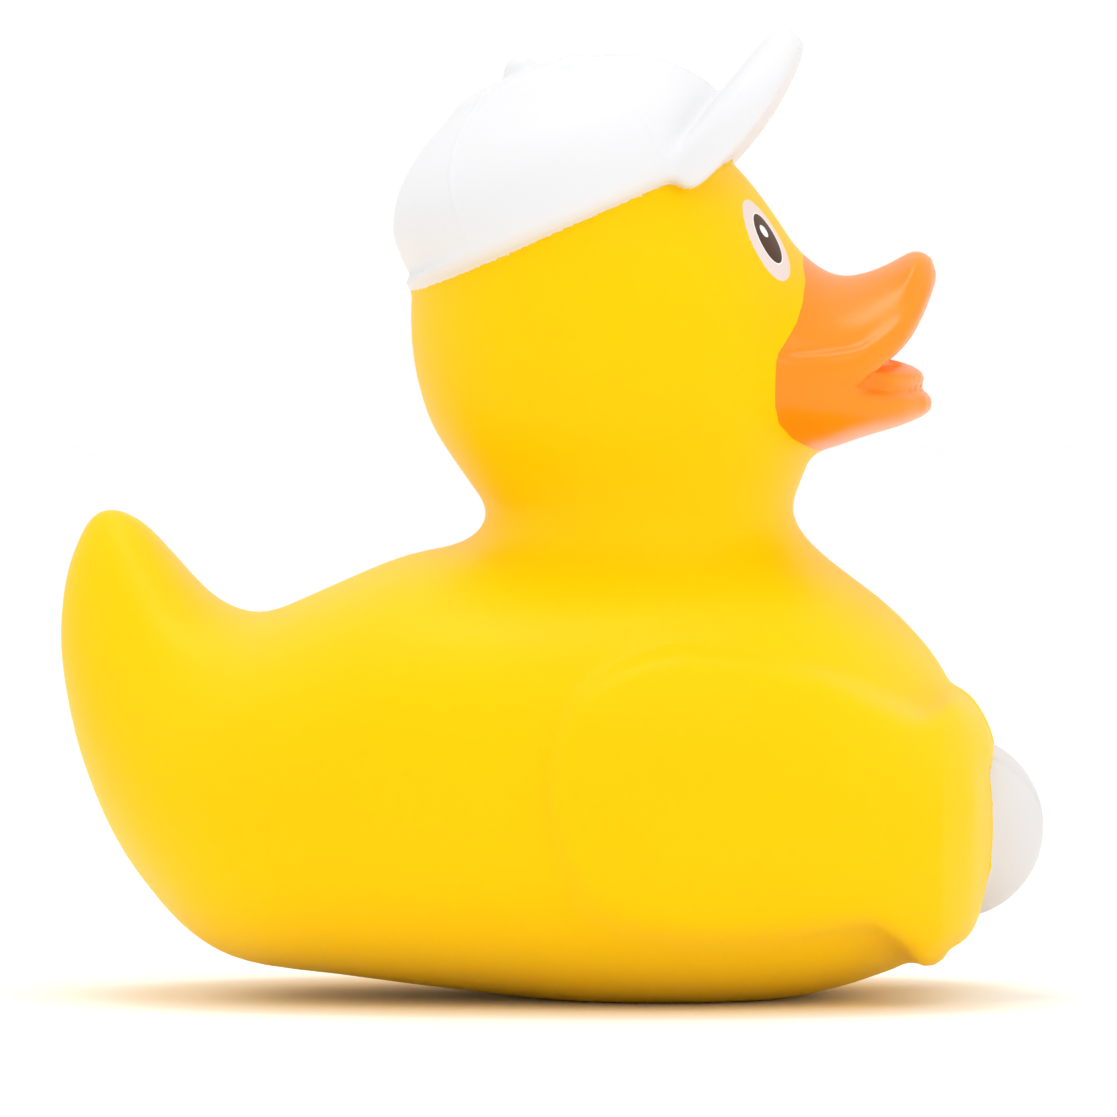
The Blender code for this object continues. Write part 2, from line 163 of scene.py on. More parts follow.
# Wing outline seen from the side, clockwise from its rear edge
WING = (
    (0.7, 19.1), (1.3, 24.1), (2.8, 28.4), (6.9, 31.5), (11.3, 32.9), (14.2, 33.0), (19.9, 32.2),
    (25.7, 30.6), (30.8, 28.1), (33.7, 26.8), (35.2, 27.1), (36.9, 28.1), (38.4, 27.6),
    (39.8, 26.1), (40.9, 24.3), (41.2, 22.7), (40.3, 21.0), (40.6, 18.0), (40.8, 15.0),
    (40.7, 11.6), (40.2, 8.4), (39.2, 6.4), (37.9, 5.4), (36.7, 4.9), (36.0, 4.0), (34.9, 3.4),
    (33.6, 3.8), (32.4, 5.5), (30.7, 7.0), (28.6, 7.8), (22.8, 7.3), (17.2, 6.9), (11.9, 7.2),
    (7.4, 8.2), (4.0, 10.5), (1.5, 15.1),
)
# Ball, with a moulded seam that leans to one side
BALL_AT = (36.7, 0.0, 15.7)
BALL_RADII = (8.4, 8.6, 8.5)
BALL_SEAM_SLOPE = 0.57

# Eye, on the left and right of the face, above the bill: its centre on the left, the way it
# faces and the way its long axis leans on the right. Each oval is its half width, half height
# and shift across and up the face.
EYE_AT = (19.85, 8.5, 69.7)
EYE_OUT = (0.79, -0.36, 0.50)
EYE_LEAN = (-0.42, 0.40, 0.81)
EYE_WHITE = (3.0, 4.28, (-0.05, 0.0))
EYE_RING = (1.84, 2.76, (0.12, 0.12))
PUPIL = (1.72, 2.64, (0.12, 0.12))
GLINT = (0.58, 0.66, (-0.12, 0.82))
# How far off the cap and the ball their paint ends
CAP_PAINT = 0.12
BALL_PAINT = 0.15

# Hole in the base: radius and top. Space round the squeaker: radius, bottom and top.
HOLE = (7.3, 4.0)
CHAMBER = (9.6, 2.3, 11.7)


def linear(code):
    """A colour from its sRGB hex code."""
    parts = [int(code[i : i + 2], 16) / 255 for i in (1, 3, 5)]
    return tuple(p / 12.92 if p <= 0.04045 else ((p + 0.055) / 1.055) ** 2.4 for p in parts)


# Solids as arrays of distance


# How far from flat the faces may be that are merged where the skin has little detail
MERGE = 0.005


class Field:
    """A box of sample points round the duck. A solid is an array of distances to its surface at
    those points, negative inside."""

    def __init__(self, pitch):
        self.pitch = pitch
        self.band = 7.0
        margin = 3.0
        low = np.floor((BODY_LOW - margin) / pitch).astype(int)
        high = np.ceil((BODY_HIGH + margin) / pitch).astype(int)
        low[1] = -max(-low[1], high[1])
        high[1] = -low[1]
        self.low, self.shape = low, tuple(high - low + 1)
        axes = [(np.arange(n) + a) * pitch for a, n in zip(low, self.shape)]
        self.x, self.y, self.z = np.meshgrid(*axes, indexing="ij", sparse=True)
        self.transform = openvdb.createLinearTransform(pitch)

    def of_mesh(self, points, quads, soften=0.0):
        """The distance to a closed mesh, with its facets smoothed over the softening width."""
        grid = openvdb.FloatGrid.createLevelSetFromPolygons(
            points.astype(np.float32),
            quads=quads.astype(np.uint32),
            transform=self.transform,
            halfWidth=self.band / self.pitch,
        )
        values = np.full(self.shape, self.band, np.float32)
        grid.copyToArray(values, ijk=tuple(int(i) for i in self.low))
        return self.smoothed(values, soften) if soften else values

    def smoothed(self, values, width):
        sigma = width / self.pitch
        reach = math.ceil(2.5 * sigma)
        weights = np.exp(-0.5 * (np.arange(-reach, reach + 1) / sigma) ** 2)
        weights = (weights / weights.sum()).astype(np.float32)
        for axis in range(3):
            padding = [(reach, reach) if a == axis else (0, 0) for a in range(3)]
            padded = np.pad(values, padding, mode="edge")
            size = values.shape[axis]
            parts = (np.take(padded, range(i, i + size), axis) for i in range(len(weights)))
            values = sum(w * part for w, part in zip(weights, parts))
        return values

    def of_ellipsoid(self, centre, radii):
        offsets = [(axis - c) / r for axis, c, r in zip((self.x, self.y, self.z), centre, radii)]
        size = np.sqrt(sum(o * o for o in offsets))
        return ((size - 1) * min(radii)).astype(np.float32)

    def read(self, values, points):
        """The values at any points, from the eight samples round each."""
        place = points / self.pitch - self.low
        corner = np.clip(np.floor(place).astype(int), 0, np.array(self.shape) - 2)
        part = place - corner
        total = np.zeros(len(points))
        for offset in np.ndindex(2, 2, 2):
            weight = np.prod(np.where(offset, part, 1 - part), axis=1)
            total += weight * values[tuple((corner + offset).T)]
        return total

    def slope(self, values, points):
        """The way the values grow fastest at any points."""
        step = self.pitch / 2
        ways = np.eye(3) * step
        rise = [self.read(values, points + w) - self.read(values, points - w) for w in ways]
        return np.stack(rise, axis=1) / (2 * step)

    def to_mesh(self, values):
        grid = openvdb.FloatGrid(self.band)
        grid.copyFromArray(values.astype(np.float32), ijk=tuple(int(i) for i in self.low))
        grid.transform = self.transform
        points, triangles, quads = grid.convertToPolygons(isovalue=0.0, adaptivity=MERGE)
        return points, [*quads.tolist(), *triangles.tolist()]


def union(a, b, radius):
    """Both solids, with a fillet about as wide as the radius where they meet."""
    near = np.clip(0.5 + 0.5 * (b - a) / radius, 0, 1)
    return b * (1 - near) + a * near - radius * near * (1 - near)


def overlap(a, b, radius):
    return -union(-a, -b, radius)


def without(a, b, radius):
    return overlap(a, -b, radius)


def smooth_step(t):
    return t**2 * (3 - 2 * t)


def ramp(values, start, end):
    """0 at the start and 1 at the end, and even in between."""
    return np.clip((values - start) / (end - start), 0, 1)


# Lofts


def signed_power(values, power):
    return np.sign(values) * np.abs(values) ** power


def refined(rows, steps):
    """Catmull-Rom rows through the given ones."""
    rows = np.vstack([2 * rows[0] - rows[1], rows, 2 * rows[-1] - rows[-2]])
    made = []
    for p, q, r, s in zip(rows, rows[1:], rows[2:], rows[3:]):
        for t in np.arange(steps) / steps:
            square = (2 * p - 5 * q + 4 * r - s) * t**2
            cube = (3 * q - p - 3 * r + s) * t**3
            made.append(q + ((r - p) * t + square + cube) / 2)
    return np.array([*made, rows[-2]])


def station(middle, side, up, down, square):
    """One row of a loft: the ring's middle, its reach to the side, up and down, and how boxy."""
    return np.array([*middle, *side, *up, *down, square], float)


def loft(rows, ends, sides=96, steps=10, end_rings=8):
    """A closed surface through the rings, domed at each end, as points and quads."""
    rows = refined(np.array(rows), steps)
    ways = (rows[0] - rows[1], rows[-1] - rows[-2])
    domes = []
    for row, way, depth in zip((rows[0], rows[-1]), ways, ends):
        way = way[:3] / np.linalg.norm(way[:3])
        turns = np.linspace(0, math.pi / 2, end_rings + 1)[1:]
        dome = np.repeat(row[None], end_rings, axis=0)
        dome[:, :3] += way * depth * np.sin(turns)[:, None]
        dome[:, 3:12] *= np.maximum(np.cos(turns), 1e-4)[:, None]
        domes.append(dome)
    rows = np.vstack([domes[0][::-1], rows, domes[1]])
    turn = np.linspace(0, 2 * math.pi, sides, endpoint=False)
    points = []
    for row in rows:
        across = signed_power(np.sin(turn), 2 / row[12])[:, None]
        rise = signed_power(np.cos(turn), 2 / row[12])[:, None]
        reach = np.where(rise > 0, rise * row[6:9], -rise * row[9:12])
        points.append(row[:3] + across * row[3:6] + reach)
    points = np.vstack(points)
    near = np.arange(sides)
    strip = np.stack([near, (near + 1) % sides, (near + 1) % sides + sides, near + sides], 1)
    quads = np.vstack([strip + i * sides for i in range(len(rows) - 1)])
    last = len(points) - sides
    fans = []
    for start in (0, last):
        half = np.arange(sides // 2 - 1)
        fan = np.stack([half, half + 1, sides - 2 - half, sides - 1 - half], 1) + start
        fans.append(fan if start else fan[:, ::-1])
    return points, np.vstack([quads, *fans])


def upright(rows):
    """Stations standing on the plane of symmetry."""
    made = []
    for top, low, half_width, widest, square in rows:
        top, low = (np.array([x, 0.0, z]) for x, z in (top, low))
        middle = low + (top - low) * widest
        made.append(station(middle, (0, half_width, 0), top - middle, low - middle, square))
    return made


def on_cap(along, height, y=0.0):
    sine, cosine = math.sin(CAP_LEAN), math.cos(CAP_LEAN)
    x = CAP_CENTRE[0] + along * cosine - height * sine
    return np.array([x, y, CAP_CENTRE[1] + along * sine + height * cosine])


CAP_AHEAD, CAP_UP = on_cap(1, 0) - on_cap(0, 0), on_cap(0, 1) - on_cap(0, 0)


def to_cap(points):
    """Points as (ahead, to the side, up) of the cap's centre."""
    offset = points - on_cap(0, 0)
    return offset @ CAP_AHEAD, offset[:, 1], offset @ CAP_UP


def cap_stations():
    made = []
    for height, rear, front, half_width in CAP:
        sides = ((0, half_width, 0), CAP_AHEAD * front, -CAP_AHEAD * rear)
        made.append(station(on_cap(0, height), *sides, CAP_SQUARE))
    return made


def lip_stations():
    """The rolled rim of the upper bill, from side to side."""
    half = np.array(LIP)
    path = np.vstack([half * (1, -1, 1), half[-2::-1]])
    outward = np.cross(np.gradient(path, axis=0), (0, 0, 1))
    outward /= np.linalg.norm(outward, axis=1)[:, None]
    path -= outward * LIP_REACH + np.array([0, 0, LIP_UP])
    up, down = (0, 0, LIP_UP), (0, 0, LIP_UP - LIP_DOWN)
    return [station(at, out * LIP_REACH, up, down, 2) for at, out in zip(path, outward)]


def peak_stations():
    """Slices of the peak from side to side, each running from its root to its outer edge."""
    line = refined(np.array([(x, 0, z) for x, z in PEAK_SPINE], float), 24)
    root = line[0]
    made = []
    for turn in np.radians(np.linspace(-86, 86, 41)):
        reach = 0.12 + 0.88 * math.cos(turn) ** 0.8
        tip = line[round((len(line) - 1) * reach)]
        way = (tip - root) / np.linalg.norm(tip - root)
        middle = (root + tip) / 2 + np.array([0, PEAK_HALF_WIDTH * math.sin(turn), 0])
        across = np.array([way[2], 0, -way[0]]) * PEAK_THICKNESS / 2
        half = (tip - root) / 2
        made.append(station(middle, across, half + way * 1.7, -half, 4.5))
    return made


def outline_distance(outline, x, z):
    """Distance to a closed outline in side view, negative inside."""
    nearest = np.full(np.broadcast(x, z).shape, 1e6)
    inside = np.zeros(nearest.shape, bool)
    for (ax, az), (bx, bz) in zip(outline, np.roll(outline, -1, axis=0)):
        wx, wz = bx - ax, bz - az
        t = np.clip(((x - ax) * wx + (z - az) * wz) / (wx * wx + wz * wz), 0, 1)
        nearest = np.minimum(nearest, np.hypot(x - ax - t * wx, z - az - t * wz))
        crosses = (az > z) != (bz > z)
        inside ^= crosses & (x < ax + (z - az) / (wz if wz else 1e-9) * wx)
    return np.where(inside, -nearest, nearest)


def closed_curve(points, steps):
    rows = np.array([points[-1], *points, points[0], points[1]], float)
    return refined(rows, steps)[steps : -2 * steps]


def wings(field, torso):
    """Paddles raised from the torso, thickening forward into hands that hold the ball."""
    outline = outline_distance(closed_curve(WING, 6), field.x[:, 0], field.z[0, 0])[:, None, :]
    forward = ramp(field.x, 16.0, 36.0)
    high = ramp(field.z, 19.0, 28.0)
    lift = 1.3 + 3.1 * forward**2 * (1 - 0.55 * high)
    apart = 5.2 - 3.8 * ramp(field.z, 19.0, 24.0) - np.abs(field.y)
    paddle = overlap(torso - lift, outline.astype(np.float32), 2.2)
    return overlap(paddle, apart.astype(np.float32), 2.4)


class Duck:
    """The duck's solids on one field, and the union of them all."""

    def __init__(self, field):
        f = self.field = field
        self.dome = self.dome_and_hem()
        self.button = f.of_ellipsoid(on_cap(BUTTON_AT, BUTTON_HEIGHT), (BUTTON_RADIUS,) * 3)
        self.peak = f.of_mesh(*loft(peak_stations(), (0.3, 0.3)), soften=0.6)
        self.cap = union(union(self.dome, self.button, 0.7), self.peak, 1.0)
        self.ball = self.seamed_ball()
        skin = union(self.winged_body(), self.bill(), 1.6)
        skin = union(skin, self.cap, 0.5)
        skin = union(skin, self.ball, 0.4)
        skin = overlap(skin, (0.0 - f.z).astype(np.float32), 0.3)
        self.skin = without(skin, self.pocket(), 0.25)

    def winged_body(self):
        f = self.field
        torso = f.of_mesh(*loft(upright(TORSO), (1.0, 1.2)), soften=1.2)
        skull = f.of_mesh(*loft(upright(HEAD), (1.0, 2.4)), soften=1.0)
        palm = ramp(f.x, 24.0, 34.0) * ramp(f.z, 16.0, 24.0)
        below = ramp(f.z, 14.0, 8.0)
        return union(union(torso, skull, 4.5), wings(f, torso), 0.9 + 0.9 * palm + 1.4 * below)

    def bill(self):
        f = self.field
        upper = f.of_mesh(*loft(upright(UPPER_BILL), (0.5, 0.9)), soften=0.5)
        lip = f.of_mesh(*loft(lip_stations(), (0.3, 0.3)), soften=0.2)
        under_lip = ramp(f.z, 58.5, 57.0) * ramp(f.x, 31.0, 28.0)
        upper = union(upper, lip, 0.6 + 1.0 * under_lip)
        mouth = f.of_mesh(*loft(upright(MOUTH), (1.0, 0.5)), soften=0.4)
        upper = without(upper, mouth, 0.8)
        lower = f.of_mesh(*loft(upright(LOWER_BILL), (0.5, 0.9)), soften=0.5)
        lower = union(lower, f.of_ellipsoid(*TONGUE), 0.6)
        bill = union(upper, lower, 0.5 + 1.5 * smooth_step(ramp(f.x, 31.5, 25.5)))
        (x, y, z), radii = MOUTH_CORNER
        for corner in ((x, y, z), (x, -y, z)):
            bill = without(bill, f.of_ellipsoid(corner, radii), 0.6)
        return bill

    def dome_and_hem(self):
        dome = self.field.of_mesh(*loft(cap_stations(), (0.4, CAP_TOP)), soften=0.4)
        return union(dome, self.hem(dome), 0.4)

    def seamed_ball(self):
        f = self.field
        ball = f.of_ellipsoid(BALL_AT, BALL_RADII)
        across = f.y + BALL_SEAM_SLOPE * (f.z - BALL_AT[2])
        seam = np.abs(across / math.hypot(1, BALL_SEAM_SLOPE))
        groove = np.hypot(ball, seam) - 0.35
        return without(ball, groove.astype(np.float32), 0.3)

    def pocket(self):
        """The base's hole and the space above it, for the squeaker."""
        f = self.field
        centre = (CUP_LOW + CUP_HIGH) / 2
        from_axis = np.hypot(f.x - centre[0], f.y - centre[1])
        radius, top = HOLE
        hole = np.maximum(from_axis - radius, f.z - top)
        radius, low, high = CHAMBER
        chamber = np.maximum(from_axis - radius, np.abs(f.z - (low + high) / 2) - (high - low) / 2)
        return np.minimum(hole, chamber).astype(np.float32)

    def hem(self, dome):
        """The rolled edge at the back of the cap's rim, dying out along its sides."""
        x, z = self.field.x - CAP_CENTRE[0], self.field.z - CAP_CENTRE[1]
        ahead = x * CAP_AHEAD[0] + z * CAP_AHEAD[2]
        up = x * CAP_UP[0] + z * CAP_UP[2]
        swell = HEM_SWELL * np.clip(-ahead / 15.0, 0, 1) ** 2
        return overlap(dome - swell, (np.abs(up) - 1.1).astype(np.float32), 0.8)


# Cutting painted areas into the skin


def refine(bm, chosen_by, longest):
    """Splits the edges where chosen_by holds until none of them is over the longest."""
    for _ in range(6):
        bm.verts.index_update()
        chosen = chosen_by(np.array([v.co for v in bm.verts]))
        near = (e for e in bm.edges if all(chosen[v.index] for v in e.verts))
        edges = [e for e in near if e.calc_length() > longest]
        if not edges:
            break
        bmesh.ops.subdivide_edges(bm, edges=edges, cuts=1, use_grid_fill=True)
        bmesh.ops.triangulate(bm, faces=[f for f in bm.faces if len(f.verts) > 4])


def settle(bm, field, values):
    """Moves every vertex onto the solid's surface."""
    points = np.array([v.co for v in bm.verts])
    for _ in range(3):
        slope = field.slope(values, points)
        size = np.maximum((slope**2).sum(axis=1), 0.3)
        away = np.clip(field.read(values, points), -0.2, 0.2)
        points -= (away / size)[:, None] * slope
    for vert, point in zip(bm.verts, points.tolist()):
        vert.co = point


def relax(bm, field, values):
    """Smooths the few faces that are folded against the solid's surface."""
    for _ in range(5):
        bm.normal_update()
        slope = field.slope(values, face_centres(bm))
        slope /= np.linalg.norm(slope, axis=1)[:, None]
        lean = (slope * np.array([f.normal for f in bm.faces])).sum(axis=1)
        folded = [f for f, cosine in zip(bm.faces, lean.tolist()) if cosine < 0.75]
        verts = list({v for f in folded for v in f.verts})
        every_way = {"use_axis_x": True, "use_axis_y": True, "use_axis_z": True}
        bmesh.ops.smooth_vert(bm, verts=verts, factor=0.6, **every_way)


def cut(bm, value_of):
    """Cuts the faces along the line where value_of changes sign."""
    bm.verts.index_update()
    values = value_of(np.array([v.co for v in bm.verts]))
    on_line = []
    snapped = set()
    crossing = []
    for edge in bm.edges:
        a, b = (values[v.index] for v in edge.verts)
        if (a < 0) == (b < 0):
            continue
        t = a / (a - b)
        if t < 0.1 or t > 0.9:
            snapped.add(edge.verts[0] if t < 0.1 else edge.verts[1])
        else:
            crossing.append((edge, t))
    for edge, t in crossing:
        if snapped.isdisjoint(edge.verts):
            on_line.append(bmesh.utils.edge_split(edge, edge.verts[0], t)[1])
    bmesh.ops.connect_verts(bm, verts=[*on_line, *snapped])


def face_centres(bm):
    return np.array([f.calc_center_median() for f in bm.faces])


def eye_frame():
    """The eye's centre, its directions across, up and out of the face, for the -Y side."""
    out = Vector(EYE_OUT).normalized()
    lean = Vector(EYE_LEAN)
    up = (lean - out * out.dot(lean)).normalized()
    return Vector((EYE_AT[0], -EYE_AT[1], EYE_AT[2])), up.cross(out), up, out


def eye_value(half_width, half_height, shift=(0.0, 0.0)):
    """A function giving how far points are outside an ellipse printed on either eye."""
    centre, across, up, out = (np.array(v) for v in eye_frame())

    def value(points):
        sided = points * (1, 0, 1) - np.abs(points) * (0, 1, 0)
        offset = sided - centre
        u = (offset @ across - shift[0]) / half_width
        v = (offset @ up - shift[1]) / half_height
        size = (np.hypot(u, v) - 1) * min(half_width, half_height)
        return np.where(offset @ out > -4.0, size, 9.0)

    return value


def bill_paint(points):
    """How far points are behind the edge of the bill's paint."""
    edge_x, edge_z = np.transpose(BILL_PAINT)
    return np.interp(points[:, 2], edge_z, edge_x) - points[:, 0]


def seam_distance(points):
    """Distance to the nearest of the cap's six seams, which meet under the button."""
    ahead, side, _ = to_cap(points)
    ahead = ahead - SEAM_AXIS
    turn = np.arctan2(side, ahead)
    step = 2 * math.pi / PANELS
    return np.hypot(ahead, side) * np.abs(np.sin(turn - np.round(turn / step) * step))


# Materials


def add_node(nt, kind, settings=None, **links):
    """Adds a node with its settings. A link is a socket, and anything else a value."""
    node = nt.nodes.new(kind)
    for name, value in (settings or {}).items():
        setattr(node, name, value)
    for name, value in links.items():
        key = int(name[1:]) if name[0] == "i" and name[1:].isdigit() else name.replace("_", " ")
        socket = node.inputs[key]
        if isinstance(value, bpy.types.NodeSocket):
            nt.links.new(value, socket)
        else:
            socket.default_value = value
    return node


def new_shader(name, **values):
    material = bpy.data.materials.new(name)
    material.use_nodes = True
    nt = material.node_tree
    nt.nodes.clear()
    shader = add_node(nt, "ShaderNodeBsdfPrincipled", **values)
    add_node(nt, "ShaderNodeOutputMaterial", Surface=shader.outputs[0])
    return material, nt, shader


def satin_surface(nt, shader, low, high, grain_mm, depth_mm):
    """Roughness that drifts over the surface, and the fine grain of a blasted mould."""
    place = add_node(nt, "ShaderNodeTexCoord").outputs["Object"]
    drift = add_node(nt, "ShaderNodeTexNoise", Vector=place, Scale=1 / (14 * MM), Detail=3.0)
    rough = add_node(
        nt, "ShaderNodeMapRange", Value=drift.outputs[0], From_Min=0.35, From_Max=0.65,
        To_Min=low, To_Max=high,
    )
    nt.links.new(rough.outputs[0], shader.inputs["Roughness"])
    grain = add_node(nt, "ShaderNodeTexNoise", Vector=place, Scale=1 / (grain_mm * MM), Detail=2.0)
    bump = add_node(
        nt, "ShaderNodeBump", Height=grain.outputs[0], Strength=1.0, Distance=depth_mm * MM
    )
    nt.links.new(bump.outputs[0], shader.inputs["Normal"])
    return place


def clouded(nt, shader, place, first, second, patch_mm):
    """Base colour that wanders between two near shades."""
    cloud = add_node(nt, "ShaderNodeTexNoise", Vector=place, Scale=1 / (patch_mm * MM), Detail=4.0)
    mix = add_node(
        nt, "ShaderNodeMix", {"data_type": "RGBA"}, Factor=cloud.outputs[0],
        i6=(*first, 1), i7=(*second, 1),
    )
    nt.links.new(mix.outputs[2], shader.inputs["Base Color"])


def yellow_vinyl(paint):
    """Self-coloured rotocast PVC vinyl: soft satin, a little light passing through the wall."""
    material, nt, shader = new_shader(
        "rotocast_pvc_vinyl", IOR=1.53, Subsurface_Weight=0.25, Subsurface_Scale=0.0025,
        Subsurface_Radius=(1.0, 0.55, 0.12), Specular_IOR_Level=0.14,
        Specular_Tint=(1.0, 0.86, 0.45, 1.0),
    )
    place = satin_surface(nt, shader, 0.40, 0.47, 0.22, 0.004)
    clouded(nt, shader, place, paint.vinyl, paint.vinyl_deep, 26)
    return material


def sprayed_paint(name, first, second, roughness, coat=0.0):
    """Sprayed vinyl paint: the same satin, more opaque and a touch smoother than bare vinyl."""
    material, nt, shader = new_shader(
        name, IOR=1.5, Subsurface_Weight=0.1, Subsurface_Scale=0.0015, Specular_IOR_Level=0.15,
        Subsurface_Radius=(1.0, 0.9, 0.8), Coat_Weight=coat, Coat_Roughness=0.25,
    )
    place = satin_surface(nt, shader, roughness - 0.03, roughness + 0.04, 0.25, 0.003)
    clouded(nt, shader, place, first, second, 18)
    return material


def printed_ink(name, first, second, roughness):
    """Pad-printed ink: thin, even and slightly glossier than the vinyl round it."""
    material, nt, shader = new_shader(name, IOR=1.5, Specular_IOR_Level=0.1)
    place = satin_surface(nt, shader, roughness - 0.02, roughness + 0.03, 0.18, 0.002)
    clouded(nt, shader, place, first, second, 0.5)
    return material


def moulded_polymer(name, first, second, roughness):
    """Uncoloured polymer: milky, waxy, with light inside it."""
    material, nt, shader = new_shader(
        name, IOR=1.51, Subsurface_Weight=0.4, Subsurface_Scale=0.002, Subsurface_Radius=(1.0, 1.0, 0.9)
    )
    place = satin_surface(nt, shader, roughness - 0.04, roughness + 0.05, 0.3, 0.004)
    clouded(nt, shader, place, first, second, 3)
    return material


# Settings


class DuckShape(PropertyGroup):
    pitch: FloatProperty(
        name="Mesh Pitch", description="Spacing of the skin's mesh, in mm", default=0.45, min=0.3
    )
    seam_height: FloatProperty(
        name="Seam Height", description="How far a cap seam stands up, in mm", default=0.11
    )
    seam_width: FloatProperty(
        name="Seam Width", description="Width of a cap seam, in mm", default=0.5
    )
    fine: FloatProperty(
        name="Fine Mesh", description="Longest edge at seams and eyes, in mm", default=0.23
    )
    medium: FloatProperty(
        name="Medium Mesh", description="Longest edge at paint edges, in mm", default=0.42
    )


class DuckPaint(PropertyGroup):
    vinyl: FloatVectorProperty(
        name="Vinyl", description="The casting's own colour", subtype="COLOR", default=linear("#ffcd00")
    )
    vinyl_deep: FloatVectorProperty(
        name="Vinyl, Deeper", description="Its slightly deeper patches", subtype="COLOR",
        default=linear("#fdc500"),
    )
    bill: FloatVectorProperty(
        name="Bill", description="Paint of the bill", subtype="COLOR", default=linear("#fd9010")
    )
    bill_deep: FloatVectorProperty(
        name="Bill, Deeper", description="Its deeper patches", subtype="COLOR", default=linear("#fb8a0c")
    )
    cap: FloatVectorProperty(
        name="Cap", description="Paint of the cap", subtype="COLOR", default=linear("#e5e5e7")
    )
    ball: FloatVectorProperty(
        name="Ball", description="Paint of the ball", subtype="COLOR", default=linear("#dddad9")
    )
    eye: FloatVectorProperty(
        name="Eye White", description="Ink of the eye", subtype="COLOR", default=linear("#eadbd5")
    )
    pupil: FloatVectorProperty(
        name="Pupil", description="Ink of the pupil", subtype="COLOR", default=linear("#45290f")
    )


class DuckStudio(PropertyGroup):
    azimuth: FloatProperty(
        name="Azimuth", description="Turn of the camera towards the bill", subtype="ANGLE",
        default=math.radians(2.5),
    )
    elevation: FloatProperty(
        name="Elevation", description="Height of the camera's view", subtype="ANGLE",
        default=math.radians(1.5),
    )
    distance: FloatProperty(
        name="Distance", description="Camera to duck", subtype="DISTANCE", default=1.1
    )
    width: FloatProperty(
        name="View Width", description="Width seen at the duck", subtype="DISTANCE", default=0.10296
    )
    light: FloatProperty(name="Light", description="Strength of the white surround", default=1.0)


# Operators


def floor_board():
    """A wide flat board in metres, at the height the duck stands on."""
    mesh = bpy.data.meshes.new("floor")
    corners = [(-3, -3, 0), (3, -3, 0), (3, 3, 0), (-3, 3, 0)]
    mesh.from_pydata(corners, [], [(0, 1, 2, 3)])
    material, nt, shader = new_shader("floor_board", Roughness=0.85)
    place = add_node(nt, "ShaderNodeTexCoord").outputs["Object"]
    clouded(nt, shader, place, linear("#ffffff"), linear("#fefefe"), 90)
    mesh.materials.append(material)
    floor = bpy.data.objects.new("floor", mesh)
    bpy.context.scene.collection.objects.link(floor)
    return floor


def paint_areas(field, duck, paint):
    """Each paint or ink, in the order they go on, with a value that is negative in its area."""
    orange = sprayed_paint("sprayed_orange_paint", paint.bill, paint.bill_deep, 0.36, 0.3)
    white = sprayed_paint("sprayed_white_paint", paint.cap, linear("#e2e2e3"), 0.38)
    ball = sprayed_paint("sprayed_ball_paint", paint.ball, linear("#d9d6d5"), 0.42)
    pure, off = linear("#ffffff"), linear("#fbf8f6")
    return [
        (orange, bill_paint),
        (white, lambda p: field.read(duck.cap, p) - CAP_PAINT),
        (ball, lambda p: field.read(duck.ball, p) - BALL_PAINT),
        (printed_ink("eye_white_ink", paint.eye, linear("#e8d8d2"), 0.34), eye_value(*EYE_WHITE)),
        (printed_ink("eye_ring_ink", pure, off, 0.34), eye_value(*EYE_RING)),
        (printed_ink("pupil_ink", paint.pupil, linear("#503214"), 0.3), eye_value(*PUPIL)),
        (printed_ink("glint_ink", pure, off, 0.34), eye_value(*GLINT)),
    ]


def open_dome(field, duck, points):
    """1 on the open dome of the cap, falling to 0 at the button, the peak and the rim."""
    off_peak = field.read(duck.peak, points) - 0.3
    off_button = field.read(duck.button, points) / 0.6
    off_rim = to_cap(points)[2] - 1.0
    on_surface = field.read(duck.dome, points) < 0.35
    return np.clip(np.min([off_peak, off_button, off_rim], axis=0), 0, 1) * on_surface


def raise_seams(bm, field, duck, shape):
    bm.normal_update()
    places = np.array([v.co for v in bm.verts])
    rise = np.exp(-((seam_distance(places) / (shape.seam_width / 2)) ** 2))
    rise *= open_dome(field, duck, places) * shape.seam_height
    for vert, height in zip(bm.verts, rise.tolist()):
        if height > 0.002:
            vert.co += vert.normal * height


